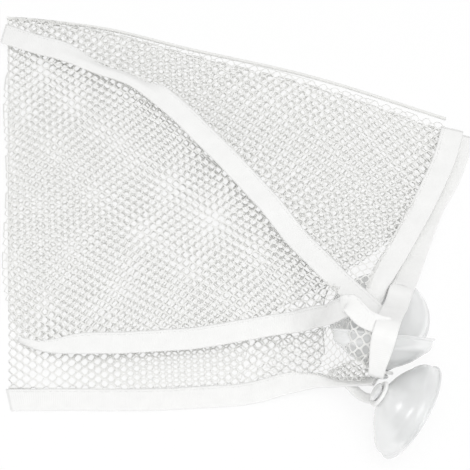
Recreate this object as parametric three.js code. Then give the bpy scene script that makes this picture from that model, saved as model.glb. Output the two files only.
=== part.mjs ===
// Bath toy organizer: a net bag with tape-bound edges, folded flat, and three suction cups.
// Millimetres, +Z up, lying on z = 0. The long flap edge runs from the left corner to the cups.
import * as THREE from "three";
import { mergeVertices } from "three/addons/utils/BufferGeometryUtils.js";

const V = (x, y, z) => new THREE.Vector3(x, y, z);

// Tape and net
const TAPE_WIDTH = 12;
const TAPE_THICK = 1.8;
const TAPE_EDGE = 0.5; // rounding of a tape's long edges
const NET_THICK = 0.8;
const HOLE_SHARE = 0.66; // a hole's width as a share of its cell
const SEW_GAP = 0.9; // between a net's edge and its tape
const FIT = 0.4; // between pieces that lie on each other

// Suction cup, measured from its rim plane towards its knob
const RIM_RADIUS = 26;
const RIM_FLAT = 2.4; // width of the flat ring that seals
const RIM_THICK = 3.6; // height of the rim's upright edge
const CUP_DEPTH = 18;
const CUP_WALL = 1.6;
const NECK_RADIUS = 3.5;
const NECK_LENGTH = 2.6;
const HEAD_RADIUS = 4.8;
const HEAD_LENGTH = 2.4;
const CUP_SIDES = 36;

// Buttonhole tab on a cup's neck
const TAB_RADIUS = 7;
const TAB_THICK = 1.6;
const TAB_PLAY = 0.4; // round the neck
const TONGUE_HALF = 0.6 * TAB_RADIUS; // half the width of a tab's tongue

// Where the cups lie: the upper one flat on its rim, the middle one leaning on it
const UPPER_AT = V(74.5, -50.1, 0);
const MIDDLE_REST = V(0.5, -15.2, 0); // its lowest rim point, from the upper cup's axis
const MIDDLE_FACE = V(0.105, 0.878, 0.467).normalize();
const LOWER_TOUCH = V(77.1, -110.9, 0); // its lowest rim point, on the table
const LOWER_FACE = V(0.843, -0.327, -0.427).normalize();

// Levels of what lies on the table: the tapes' middle, and the middles of the two nets
const TAPE_LOW = TAPE_THICK / 2 + 0.1;
const NET_UNDER = NET_THICK / 2 + 0.1;
const NET_LOW = NET_UNDER + NET_THICK + FIT;

// Small geometry helpers
const smooth = (a, b, x) => THREE.MathUtils.smoothstep(x, a, b);
const through = (points) => {
  const curve = new THREE.CatmullRomCurve3(points, false, "centripetal");
  return (t) => curve.getPointAt(THREE.MathUtils.clamp(t, 0, 1));
};

function closedGeometry(positions, triangles) {
  const geometry = new THREE.BufferGeometry();
  const flat = positions.flatMap((p) => [p.x, p.y, p.z]);
  geometry.setAttribute("position", new THREE.Float32BufferAttribute(flat, 3));
  geometry.setIndex(triangles.flat());
  geometry.computeVertexNormals();
  return geometry;
}

// A tape along a route: a flat six-sided section whose width stays level unless it is rolled.
function tapeFrame(route, t, roll = 0) {
  const step = 0.004;
  const along = route(t + step).sub(route(t - step)).normalize();
  const side = V(0, 0, 1).cross(along).normalize();
  const rolled = side.applyAxisAngle(along, roll);
  return { at: route(t), along, side: rolled, up: along.clone().cross(rolled).normalize() };
}

function tape(route, steps, widthAt = () => 1, rollAt = () => 0) {
  const points = [];
  const triangles = [];
  for (let i = 0; i <= steps; i++) {
    const t = i / steps;
    const { at, side, up } = tapeFrame(route, t, rollAt(t));
    const half = (TAPE_WIDTH / 2) * widthAt(t);
    const flat = half - TAPE_EDGE;
    const thick = TAPE_THICK / 2;
    const section = [[-half, 0], [-flat, -thick], [flat, -thick], [half, 0], [flat, thick], [-flat, thick]];
    for (const [s, u] of section) points.push(at.clone().addScaledVector(side, s).addScaledVector(up, u));
  }
  const sides = 6;
  for (let i = 0; i < steps; i++) {
    for (let k = 0; k < sides; k++) {
      const a = i * sides + k;
      const b = i * sides + ((k + 1) % sides);
      triangles.push([a, b, b + sides], [a, b + sides, a + sides]);
    }
  }
  const last = steps * sides;
  for (let k = 1; k < sides - 1; k++) {
    triangles.push([0, k + 1, k], [last, last + k, last + k + 1]);
  }
  return closedGeometry(points, triangles);
}

// The line beside a tape where a net's edge is sewn: side +1 or -1, from one share of it to another.
function sewn(route, side, from = 0, to = 1, widthAt = () => 1, drop = () => 0) {
  return (s) => {
    const t = from + (to - from) * s;
    const frame = tapeFrame(route, t);
    const off = side * ((TAPE_WIDTH / 2) * widthAt(t) + SEW_GAP);
    return frame.at.addScaledVector(frame.side, off).addScaledVector(frame.up, -drop(s));
  };
}

// A surface through four edges, each a function of 0..1; the ends are pulled to the shared corners.
function patch(bottom, top, left, right) {
  const mid = (a, b) => a.clone().add(b).multiplyScalar(0.5);
  const c00 = mid(bottom(0), left(0));
  const c10 = mid(bottom(1), right(0));
  const c01 = mid(top(0), left(1));
  const c11 = mid(top(1), right(1));
  const pulled = (curve, start, end) => (t) =>
    curve(t)
      .addScaledVector(start.clone().sub(curve(0)), 1 - t)
      .addScaledVector(end.clone().sub(curve(1)), t);
  const b = pulled(bottom, c00, c10);
  const tp = pulled(top, c01, c11);
  const l = pulled(left, c00, c01);
  const r = pulled(right, c10, c11);
  return (u, v) =>
    V(0, 0, 0)
      .addScaledVector(b(u), 1 - v)
      .addScaledVector(tp(u), v)
      .addScaledVector(l(v), 1 - u)
      .addScaledVector(r(v), u)
      .addScaledVector(c00, -(1 - u) * (1 - v))
      .addScaledVector(c10, -u * (1 - v))
      .addScaledVector(c01, -(1 - u) * v)
      .addScaledVector(c11, -u * v);
}

// A net on a surface: staggered six-sided cells, each with a hole, made solid by NET_THICK.
function net(surface, columns, rows) {
  const places = [];
  const faces = [];
  const halfRows = 2 * rows;
  const lean = 1 / 6; // how far a cell's middle corners stand out, as a share of its width
  const corner = (i, k) => i * (halfRows + 1) + k;
  for (let i = 0; i <= columns; i++) {
    for (let k = 0; k <= halfRows; k++) {
      const inside = i > 0 && i < columns && k > 0 && k < halfRows;
      const out = inside ? ((k + i) % 2 ? -lean : lean) : 0;
      places.push([(i + out) / columns, k / halfRows]);
    }
  }
  for (let i = 0; i < columns; i++) {
    const shift = i % 2;
    if (shift) {
      for (const k of [0, halfRows - 1]) {
        faces.push([corner(i, k), corner(i + 1, k), corner(i + 1, k + 1)]);
        faces.push([corner(i, k), corner(i + 1, k + 1), corner(i, k + 1)]);
      }
    }
    for (let k = shift; k + 2 <= halfRows; k += 2) {
      const ring = [
        corner(i, k), corner(i + 1, k), corner(i + 1, k + 1),
        corner(i + 1, k + 2), corner(i, k + 2), corner(i, k + 1),
      ];
      const centre = [0, 1].map((axis) => ring.reduce((sum, c) => sum + places[c][axis], 0) / 6);
      const hole = ring.map((c) => {
        places.push(centre.map((m, axis) => m + HOLE_SHARE * (places[c][axis] - m)));
        return places.length - 1;
      });
      ring.forEach((a, n) => {
        const m = (n + 1) % 6;
        faces.push([a, ring[m], hole[m]], [a, hole[m], hole[n]]);
      });
    }
  }
  return thickened(surface, places, faces);
}

function thickened(surface, places, faces) {
  const small = 0.003;
  const offset = ([u, v], sign) => {
    const du = surface(Math.min(u + small, 1), v).sub(surface(Math.max(u - small, 0), v));
    const dv = surface(u, Math.min(v + small, 1)).sub(surface(u, Math.max(v - small, 0)));
    return surface(u, v).addScaledVector(du.cross(dv).normalize(), (sign * NET_THICK) / 2);
  };
  const count = places.length;
  const points = [...places.map((p) => offset(p, 1)), ...places.map((p) => offset(p, -1))];
  const triangles = faces.flatMap(([a, b, c]) => [[a, b, c], [a + count, c + count, b + count]]);
  const used = new Set(faces.flatMap(([a, b, c]) => [`${a},${b}`, `${b},${c}`, `${c},${a}`]));
  for (const edge of used) {
    const [a, b] = edge.split(",").map(Number);
    if (used.has(`${b},${a}`)) continue;
    triangles.push([a + count, b + count, b], [a + count, b, a]);
  }
  return closedGeometry(points, triangles);
}

// Suction cup: its outside as radius and height above the rim plane
const CUP_OUTSIDE = [
  [RIM_RADIUS, RIM_THICK],
  [RIM_RADIUS * 0.97, CUP_DEPTH * 0.29],
  [RIM_RADIUS * 0.9, CUP_DEPTH * 0.38],
  [RIM_RADIUS * 0.8, CUP_DEPTH * 0.49],
  [RIM_RADIUS * 0.62, CUP_DEPTH * 0.69],
  [RIM_RADIUS * 0.44, CUP_DEPTH * 0.83],
  [RIM_RADIUS * 0.28, CUP_DEPTH * 0.93],
  [NECK_RADIUS * 1.5, CUP_DEPTH],
];

function cupHeight(radius) {
  for (let i = 1; i < CUP_OUTSIDE.length; i++) {
    const [r0, h0] = CUP_OUTSIDE[i - 1];
    const [r1, h1] = CUP_OUTSIDE[i];
    if (radius >= r1) return h0 + ((r0 - radius) / (r0 - r1)) * (h1 - h0);
  }
  return CUP_DEPTH;
}

function cupGeometry() {
  const inside = CUP_OUTSIDE.slice(3, 7).map(([r, h]) => [r * 0.97, Math.max(h - CUP_WALL * 1.5, 0.8)]);
  const neckEnd = CUP_DEPTH + NECK_LENGTH;
  const top = neckEnd + HEAD_LENGTH;
  const outline = [
    [0, CUP_DEPTH * 0.8],
    ...inside.reverse(),
    [RIM_RADIUS - RIM_FLAT, 0],
    [RIM_RADIUS, 0],
    ...CUP_OUTSIDE,
    [NECK_RADIUS, CUP_DEPTH],
    [NECK_RADIUS, neckEnd],
    [HEAD_RADIUS, neckEnd],
    [HEAD_RADIUS, neckEnd + HEAD_LENGTH * 0.45],
    [HEAD_RADIUS * 0.7, neckEnd + HEAD_LENGTH * 0.85],
    [0, top],
  ].map(([r, h]) => new THREE.Vector2(r, h));
  const lathe = new THREE.LatheGeometry(outline, CUP_SIDES);
  lathe.deleteAttribute("normal");
  lathe.deleteAttribute("uv");
  const merged = mergeVertices(lathe, 1e-3);
  const kept = [];
  const index = merged.index.array;
  for (let i = 0; i < index.length; i += 3) {
    const [a, b, c] = [index[i], index[i + 1], index[i + 2]];
    if (a !== b && b !== c && c !== a) kept.push(a, b, c);
  }
  merged.setIndex(kept);
  merged.computeVertexNormals();
  return merged;
}

// A cup's place: its rim centre, the way its face looks, and the way up in its rim plane
function cupPlace(centre, face) {
  const rise = V(0, 0, 1).addScaledVector(face, -face.z);
  const up = rise.lengthSq() > 1e-6 ? rise.normalize() : V(0, 1, 0);
  const across = face.clone().cross(up).normalize();
  const neck = centre.clone().addScaledVector(face, -(CUP_DEPTH + NECK_LENGTH / 2));
  return { centre, face, up, across, neck };
}

function standing(lowest, face) {
  const place = cupPlace(lowest, face);
  return cupPlace(lowest.clone().addScaledVector(place.up, RIM_RADIUS), face);
}

const upper = cupPlace(UPPER_AT.clone(), V(0, 0, -1));
const restRadius = Math.hypot(MIDDLE_REST.x, MIDDLE_REST.y);
const middleLow = UPPER_AT.clone().add(MIDDLE_REST).setZ(cupHeight(restRadius) + 2 * FIT);
const middle = standing(middleLow, MIDDLE_FACE);
const lower = standing(LOWER_TOUCH.clone(), LOWER_FACE);

// A point near a cup's rim: angle round it, how far outside it, how far in front of it
function byRim(cup, degrees, outside, front) {
  const angle = THREE.MathUtils.degToRad(degrees);
  const reach = RIM_RADIUS + outside;
  return cup.centre
    .clone()
    .addScaledVector(cup.across, reach * Math.cos(angle))
    .addScaledVector(cup.up, reach * Math.sin(angle))
    .addScaledVector(cup.face, front);
}

// Tapes narrow where they are gathered: the share taken away at the end, and where it starts
const tapered = (share, from) => (t) => 1 - share * smooth(from, 1, t);
const sideWidth = tapered(0.45, 0.78);
const baseWidth = tapered(0.5, 0.72);
const flapWidth = tapered(0.3, 0.93);
const flapEndWidth = tapered(0.35, 0.65);
const rearWidth = tapered(0.35, 0.85);

// Tape routes
const tabLevel = upper.neck.z;
const headTop = CUP_DEPTH + NECK_LENGTH + HEAD_LENGTH;
const flapRoute = through([
  V(-127.5, 124.5, 6), V(-112, 116, 9.5), V(-94, 108, 13), V(-73, 97.5, 15), V(-54, 88.5, 16),
  V(-36, 73, 16), V(-16, 51, 16), V(17, 10.5, 16), V(46, -26, 19), V(60, -39.5, 23.5),
  V(68.5, -50, headTop + TAPE_THICK + 1.4), V(73.5, -60, headTop + TAPE_THICK + 3),
]);
const sideRoute = through([
  V(-116, -60.5, 3.6), V(-100, -67, 6.5), V(-73.5, -69, 9), V(-24.5, -66.5, 9), V(0, -62.5, 9),
  V(15.5, -60, 10.5), V(30.5, -60.5, 16), V(38, -63, 27),
  byRim(middle, 168, 4.8, 5), byRim(middle, 140, 5, 7), byRim(middle, 122, 5, 4),
  byRim(middle, 112, 4.6, 0.5),
]);
const lowerTabFoot = lower.neck.clone().addScaledVector(lower.up, -(TAB_RADIUS + 1.5));
const baseRoute = through([
  V(-114.5, -97, TAPE_LOW), V(-81, -97, TAPE_LOW), V(-43, -97, TAPE_LOW), V(-24.5, -96, TAPE_LOW),
  V(0, -94.5, TAPE_LOW + 0.1), V(12.5, -93, 2), V(22.5, -91, 5), V(33.5, -91, 11), V(46.5, -93.5, 19),
  V(56, -101.5, 24), lowerTabFoot,
]);
const flapEndRoute = through([
  V(117, 62.5, 5), V(112, 44.5, 6), V(104.5, 25.5, 8), V(98, 11, 10), V(91, -4, 13),
  V(83.5, -20.5, 17), V(77, -33.5, tabLevel), UPPER_AT.clone().add(V(0, TAB_RADIUS + 0.6, tabLevel)),
]);
const ridge = byRim(middle, 84, TAPE_THICK / 2 + 2.8, -RIM_THICK / 2);
const toRidge = ridge.clone().sub(lower.neck);
const tongueWay = toRidge.addScaledVector(lower.face, -toRidge.dot(lower.face)).normalize();
const strapFoot = lower.neck.clone().addScaledVector(tongueWay, TAB_RADIUS + 2);
strapFoot.addScaledVector(lower.face, 0.6);
const rearRoute = through([
  V(123.5, 61, TAPE_LOW), V(118.5, 46, TAPE_LOW), V(113, 31.5, 1.5), V(105, 16, 3), V(99.5, 1, 6),
  V(94, -16, 10), V(87.5, -37, 17), V(84, -48, headTop + 2), V(81.5, -58, headTop + 7),
  V(77, -74, (headTop + 7 + ridge.z) / 2), ridge, strapFoot,
]);

// Net panels between the folds and the tapes
const NET_OVER = NET_LOW + NET_THICK + FIT;
const topFold = (z, to = 1) => {
  const fold = through([
    V(-126.5, 138, z), V(-105, 136, z), V(-69, 130, z), V(-26.5, 117.5, z), V(41, 99, z), V(114, 71.5, z),
  ]);
  return (t) => fold(t * to);
};
const leftFold = (from, to, z) => (t) => {
  const y = from + (to - from) * t;
  return V(-126 + 9 * (1 - (y + 92) / 230), y, z);
};
const between = (a, b) => (t) => a.clone().lerp(b, t);

// The shares along two lines where they come nearest to each other in plan
function meeting(first, second) {
  let best = [1, 1, Infinity];
  for (let a = 0; a <= 1; a += 0.005) {
    const p = first(a);
    for (let b = 0; b <= 1; b += 0.005) {
      const q = second(b);
      const apart = Math.hypot(p.x - q.x, p.y - q.y);
      if (apart < best[2]) best = [a, b, apart];
    }
  }
  return best;
}
const atLeast = (curve, z) => (t) => curve(t).max(V(-Infinity, -Infinity, z));
const part = (curve, from, to) => (t) => curve(from + (to - from) * t);

const flapSeam = sewn(flapRoute, 1, 0.03, 1);
const flapEndSeam = sewn(flapEndRoute, -1, 0, 1, (t) => flapEndWidth(t) + 0.05);
const [flapTo, flapEndTo] = meeting(flapSeam, flapEndSeam);
const flapLow = part(flapSeam, 0, flapTo);
const flapNet = patch(
  flapLow,
  topFold(NET_OVER),
  between(flapLow(0), topFold(NET_OVER)(0)),
  part(flapEndSeam, flapEndTo, 0.03),
);

const HIDDEN_DROP = 5; // how far the side panel's hidden edge lies below the flap's tape
const hidden = (t) => {
  const place = tapeFrame(flapRoute, 0.05 + 0.83 * t);
  const fall = HIDDEN_DROP * smooth(0.02, 0.35, t) + TAPE_THICK + FIT;
  return place.at.addScaledVector(place.side, 4).add(V(0, 0, -fall));
};
const SIDE_NET_TO = 0.64; // share of the side tape that carries the side panel
const sideLow = sewn(sideRoute, 1, 0.02, SIDE_NET_TO);
const sideFold = leftFold(-56, 118, NET_OVER);
const sideEdge = through([sideLow(0), sideFold(0.1), sideFold(0.5), sideFold(0.9), hidden(0)]);
const sideNet = patch(
  sideLow,
  hidden,
  atLeast(sideEdge, NET_OVER),
  between(sideLow(1), hidden(1)),
);

// The rear panel lies flat as far as a line beside the cups; its corner is drawn up over the middle cup
const BASE_SPLIT = 0.62; // share of the base tape that carries the flat part
const baseSeam = sewn(baseRoute, 1, 0.01, 0.97, baseWidth);
const rearSeam = sewn(rearRoute, -1, 0, 0.99, rearWidth);
const cornerFoot = V(12, -58, NET_LOW + 0.3);
const backNet = patch(
  atLeast(part(baseSeam, 0, BASE_SPLIT), NET_LOW),
  topFold(NET_LOW),
  leftFold(-90, 138, NET_LOW),
  atLeast(through([
    baseSeam(BASE_SPLIT), cornerFoot, V(34, -42, 3), V(53, -33, 3), V(72, -20, 3),
    rearSeam(0.27), rearSeam(0.14), rearSeam(0.04),
  ]), NET_LOW),
);

// A second panel lies under the rear one, joined to it along the folds and the base tape
const UNDER_TO = 0.57; // share of the base tape that carries it
const onTable = (curve) => (t) => curve(t).setZ(NET_UNDER);
const underBase = onTable(part(baseSeam, 0, UNDER_TO));
const underNet = patch(
  underBase,
  topFold(NET_UNDER),
  leftFold(-90, 138, NET_UNDER),
  onTable(through([
    underBase(1), V(10, -58, 0), V(32, -40, 0), V(52, -30, 0), V(72, -16, 0),
    rearSeam(0.24), rearSeam(0.14), rearSeam(0.04),
  ])),
);

const underDrop = (t) => (TAPE_THICK + NET_THICK) / 2 + FIT * (12 - 7 * smooth(0.72, 0.84, t));
const underSide = sewn(sideRoute, -1, 0, 1, (t) => 0.6 * sideWidth(t), underDrop);
const [ridgeShare] = meeting(rearRoute, () => ridge);
const cornerGap = V(1.5 * SEW_GAP, 0, NET_THICK);
const cornerTop = through([
  cornerFoot.clone().add(cornerGap), V(23, -60, 4.2), underSide(0.66), underSide(0.74), underSide(0.82),
  underSide(0.9), underSide(0.97), rearSeam(ridgeShare),
]);
const cornerSeam = sewn(baseRoute, 1, 0.01, 0.97, (t) => baseWidth(t) + 0.1);
const cornerLow = part(cornerSeam, BASE_SPLIT, 1);
const cornerNet = patch(
  (t) => cornerLow(t).addScaledVector(cornerGap, 1 - t),
  cornerTop,
  between(cornerLow(0).add(cornerGap), cornerTop(0)),
  through([cornerLow(1), rearSeam(0.98), rearSeam((0.98 + ridgeShare) / 2), cornerTop(1)]),
);

// A tab: a disc with the neck's buttonhole, and a tongue where it reaches up to a tape
function tab(place, tongue = place.up.clone().multiplyScalar(0.1)) {
  const outline = new THREE.Shape();
  const lean = Math.acos(TONGUE_HALF / TAB_RADIUS);
  if (tongue.length() > TAB_RADIUS) {
    outline.absarc(0, 0, TAB_RADIUS, Math.PI - lean, lean + 2 * Math.PI, false);
    outline.lineTo(TONGUE_HALF, tongue.length());
    outline.lineTo(-TONGUE_HALF, tongue.length());
  } else {
    outline.absarc(0, 0, TAB_RADIUS, 0, 2 * Math.PI, false);
  }
  outline.closePath();
  const buttonhole = new THREE.Path();
  buttonhole.absarc(0, 0, NECK_RADIUS + TAB_PLAY, 0, 2 * Math.PI, true);
  outline.holes.push(buttonhole);
  const cut = { depth: TAB_THICK, bevelEnabled: false, curveSegments: 14 };
  const plate = new THREE.ExtrudeGeometry(outline, cut);
  plate.translate(0, 0, -TAB_THICK / 2);
  const way = tongue.clone().normalize();
  const frame = new THREE.Matrix4().makeBasis(way.clone().cross(place.face), way, place.face);
  plate.applyMatrix4(frame.setPosition(place.neck));
  return plate;
}

// The way and length of a tongue that rises in a tab's plane until it meets a tape
function tongueTo(place, route, from) {
  let share = from;
  const offPlane = (t) => Math.abs(route(t).sub(place.neck).dot(place.face));
  for (let t = from; t <= 1; t += 0.002) if (offPlane(t) < offPlane(share)) share = t;
  const way = route(share).sub(place.neck);
  way.addScaledVector(place.face, -way.dot(place.face));
  const { up } = tapeFrame(route, share);
  const along = way.clone().normalize();
  const skew = Math.abs(along.clone().cross(place.face).dot(up)) * TONGUE_HALF * 0.5;
  const clear = (TAPE_THICK / 2 + TAB_THICK / 2 + FIT + skew) / Math.abs(along.dot(up));
  return way.setLength(way.length() - clear);
}

const parts = {};
parts.flap_binding = tape(flapRoute, 40, flapWidth);
parts.side_binding = tape(sideRoute, 40, sideWidth);
parts.base_binding = tape(baseRoute, 34, baseWidth);
parts.flap_end_binding = tape(flapEndRoute, 20, flapEndWidth);
parts.rear_end_binding = tape(rearRoute, 44, rearWidth);
parts.under_net = net(underNet, 8, 5);
parts.back_net = net(backNet, 9, 6);
parts.side_net = net(sideNet, 8, 6);
parts.flap_net = net(flapNet, 13, 5);
parts.corner_net = net(cornerNet, 8, 4);
parts.upper_tab = tab(upper);
parts.middle_tab = tab(middle, tongueTo(middle, rearRoute, ridgeShare));
parts.lower_tab = tab(lower);

function cupMesh(place) {
  const geometry = cupGeometry();
  const turn = new THREE.Quaternion().setFromUnitVectors(V(0, 1, 0), place.face.clone().negate());
  geometry.applyQuaternion(turn);
  geometry.translate(place.centre.x, place.centre.y, place.centre.z);
  return geometry;
}
parts.upper_cup = cupMesh(upper);
parts.middle_cup = cupMesh(middle);
parts.lower_cup = cupMesh(lower);

// Materials, and the frame: origin under the middle of the part, resting on z = 0
const finish = (color, roughness) => new THREE.MeshStandardMaterial({ color, roughness });
const netYarn = finish(0xf4f4f2, 0.9);
const tapeWeave = finish(0xfafaf8, 0.8);
const milkyVinyl = finish(0xe2e3e4, 0.3);
const tapeOrVinyl = (name) => (name.endsWith("_cup") ? milkyVinyl : tapeWeave);
const materialOf = (name) => (name.endsWith("_net") ? netYarn : tapeOrVinyl(name));

const group = new THREE.Group();
for (const [name, geometry] of Object.entries(parts)) {
  const mesh = new THREE.Mesh(geometry, materialOf(name));
  mesh.name = name;
  group.add(mesh);
}
const bounds = new THREE.Box3().setFromObject(group);
const middleOf = bounds.getCenter(V(0, 0, 0));
for (const mesh of group.children) mesh.geometry.translate(-middleOf.x, -middleOf.y, -bounds.min.z);

export default group;
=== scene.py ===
# %% [markdown]
# # A bath toy organizer, folded flat
#
# The object is a bag of white knitted net. Its free edges are bound with folded tape, and
# its corners end in tabs that are buttoned onto three milky suction cups. It lies folded on
# a table: a rear panel, a side panel folded over it, and a flap folded down over both.
#
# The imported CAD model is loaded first. It gives the bodies that move and the true sizes,
# and every piece below stands for one of its nodes, in the same place.

import bpy
import numpy as np
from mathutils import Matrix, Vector


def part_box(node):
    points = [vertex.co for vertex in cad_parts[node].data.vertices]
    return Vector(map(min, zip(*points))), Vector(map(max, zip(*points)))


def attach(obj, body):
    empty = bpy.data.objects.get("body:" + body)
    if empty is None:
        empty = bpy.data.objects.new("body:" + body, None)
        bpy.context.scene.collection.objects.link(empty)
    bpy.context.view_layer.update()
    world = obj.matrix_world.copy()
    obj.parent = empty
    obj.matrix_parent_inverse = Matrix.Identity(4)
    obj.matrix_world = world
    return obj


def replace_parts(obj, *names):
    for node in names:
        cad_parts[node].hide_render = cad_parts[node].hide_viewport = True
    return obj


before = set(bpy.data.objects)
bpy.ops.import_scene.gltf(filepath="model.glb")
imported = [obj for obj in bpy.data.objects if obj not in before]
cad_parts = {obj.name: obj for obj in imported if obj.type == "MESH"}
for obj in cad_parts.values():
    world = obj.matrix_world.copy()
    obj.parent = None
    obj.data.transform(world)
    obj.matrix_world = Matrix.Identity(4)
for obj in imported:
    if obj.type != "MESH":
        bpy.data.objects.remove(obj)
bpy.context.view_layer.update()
MM = 0.001


# %% [markdown]
# ## Lines in space
#
# Every edge of the bag follows a smooth line through a few chosen points. They are those of
# the CAD source, in millimetres, and the ends of three tapes are drawn closer to the real
# ones. A Bezier curve would need handles for every point. A centripetal Catmull-Rom curve
# passes through its points without loops, and it is walked by length, so that stitches and
# weave keep an even spacing.

# %% A smooth line through points
PER_SPAN = 60  # places between two points at which the length is measured


def through(points):
    """Centripetal Catmull-Rom curve, walked by its length: share 0..1 to points (n, 3).

    Between two points it is a cubic whose end slopes come from the neighbours, weighted by
    the square roots of the distances; the first and last point get a mirrored neighbour.
    Its roll, the turn of a tape about the line, is nil until it is set."""
    p = np.asarray(points, float)
    p = np.vstack([2 * p[0] - p[1], p, 2 * p[-1] - p[-2]])
    gap = np.linalg.norm(np.diff(p, axis=0), axis=1) ** 0.5
    d0, d1, d2 = gap[:-2, None], gap[1:-1, None], gap[2:, None]
    x0, x1, x2, x3 = p[:-3], p[1:-2], p[2:-1], p[3:]
    m1 = ((x1 - x0) / d0 - (x2 - x0) / (d0 + d1) + (x2 - x1) / d1) * d1
    m2 = ((x2 - x1) / d1 - (x3 - x1) / (d1 + d2) + (x3 - x2) / d2) * d1
    cubic = (x1, m1, -3 * x1 + 3 * x2 - 2 * m1 - m2, 2 * x1 - 2 * x2 + m1 + m2)
    spans = len(x1)

    def at_parameter(w):
        span = np.clip(w.astype(int), 0, spans - 1)
        s = (w - span)[:, None]
        return cubic[0][span] + s * (cubic[1][span] + s * (cubic[2][span] + s * cubic[3][span]))

    dense = np.linspace(0, spans, PER_SPAN * spans + 1)
    steps = np.linalg.norm(np.diff(at_parameter(dense), axis=0), axis=1)
    walked = np.concatenate([[0], np.cumsum(steps)])

    def line(t):
        way = np.clip(np.atleast_1d(np.asarray(t, float)), 0, 1) * walked[-1]
        return at_parameter(np.interp(way, walked, dense))

    line.length = walked[-1]
    line.roll = lambda t: 0 * t
    return line


def smooth(a, b, x):
    """Rises from 0 at a to 1 at b as 3s^2 - 2s^3, with level ends."""
    s = np.clip((np.asarray(x, float) - a) / (b - a), 0, 1)
    return s * s * (3 - 2 * s)


def unit(v):
    """Vectors (n, 3) divided by their lengths."""
    return v / np.maximum(np.linalg.norm(v, axis=-1, keepdims=True), 1e-12)


# %% [markdown]
# ## Where the cups lie
#
# The three cups are piled at one corner. The upper one lies on its rim with its knob up,
# the middle one leans on it with its rim seen on edge, and the lower one rests on the table
# with its back to the viewer. A cup's place is the centre of its rim, the way its face
# looks, and the way up in the rim's plane.

# %% Cup sizes and places
RIM_RADIUS, RIM_THICK, CUP_DEPTH = 26.0, 3.6, 18.0
NECK_RADIUS, NECK_LENGTH = 3.5, 2.6
HEAD_RADIUS, HEAD_LENGTH = 4.8, 2.4
FIT = 0.4  # clearance between pieces that fit together
LAID = 0.1  # clearance under a piece that is laid flat
TAB_RADIUS, TAB_THICK = 7.0, 1.6
TAPE_WIDTH, TAPE_THICK = 12.0, 1.8
NET_THICK = 0.8
TAPE_LOW = TAPE_THICK / 2 + LAID  # middle of a tape that lies on the table
NET_UNDER = NET_THICK / 2 + LAID  # middles of the net layers, from the table up
NET_LOW = NET_UNDER + NET_THICK + FIT
NET_OVER = NET_LOW + NET_THICK + FIT

UPPER_AT = np.array([74.5, -50.1, 0.0])
MIDDLE_REST = np.array([0.5, -15.2, 0.0])  # where its rim rests on the upper bell, from the axis
MIDDLE_FACE = unit(np.array([0.105, 0.878, 0.467]))
LOWER_TOUCH = np.array([77.1, -110.9, 0.0])  # where its rim touches the table
LOWER_FACE = unit(np.array([0.843, -0.327, -0.427]))

# The part's origin is under the middle of its box; the points below are not shifted yet.
upper_low, upper_high = (np.array(c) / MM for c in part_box("upper_cup"))
SHIFT = (upper_low + upper_high) / 2 * [1, 1, 0] - UPPER_AT

CUP_OUTSIDE = np.array([
    [RIM_RADIUS, RIM_THICK],
    [RIM_RADIUS * 0.97, CUP_DEPTH * 0.29],
    [RIM_RADIUS * 0.90, CUP_DEPTH * 0.38],
    [RIM_RADIUS * 0.80, CUP_DEPTH * 0.49],
    [RIM_RADIUS * 0.62, CUP_DEPTH * 0.69],
    [RIM_RADIUS * 0.44, CUP_DEPTH * 0.83],
    [RIM_RADIUS * 0.28, CUP_DEPTH * 0.93],
    [NECK_RADIUS * 1.5, CUP_DEPTH],
])


class CupPlace:
    """A cup's rim centre, face direction, up and across in the rim plane, and its neck's middle."""

    def __init__(self, centre, face):
        rise = np.array([0, 0, 1.0]) - face * face[2]
        self.centre, self.face = centre, face
        self.up = unit(rise) if np.linalg.norm(rise) > 1e-3 else np.array([0, 1.0, 0])
        self.across = unit(np.cross(face, self.up))
        self.neck = centre - face * (CUP_DEPTH + NECK_LENGTH / 2)


def standing(lowest, face):
    """The place of a cup whose rim touches something at its lowest point."""
    return CupPlace(lowest + CupPlace(lowest, face).up * RIM_RADIUS, face)


upper = CupPlace(UPPER_AT, np.array([0, 0, -1.0]))
rest_radius = np.hypot(*MIDDLE_REST[:2])
rest_height = np.interp(-rest_radius, -CUP_OUTSIDE[:, 0], CUP_OUTSIDE[:, 1]) + 2 * FIT
middle = standing(UPPER_AT + MIDDLE_REST + [0, 0, rest_height], MIDDLE_FACE)
lower = standing(LOWER_TOUCH, LOWER_FACE)
print("cup centres, mm:", [np.round(c.centre, 1).tolist() for c in (upper, middle, lower)])


# %% [markdown]
# ## The tapes' routes
#
# Five tapes bind the net. The flap's long edge runs down across the bag, past the upper cup
# and in under the strap. The side panel's edge crosses the bag, climbs beside the middle cup,
# turns over there and runs in under the strap too. The base tape lies along the front. Two
# tapes bind the right-hand ends of the flap and of the rear panel: the flap's one ends on the
# upper cup's knob, and the rear one runs on as the strap, over the middle cup's rim and down
# to the lower cup. A cloth simulation could drape them, but it would not lay them where they
# lie on the real bag, so each has a route of chosen points.

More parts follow.
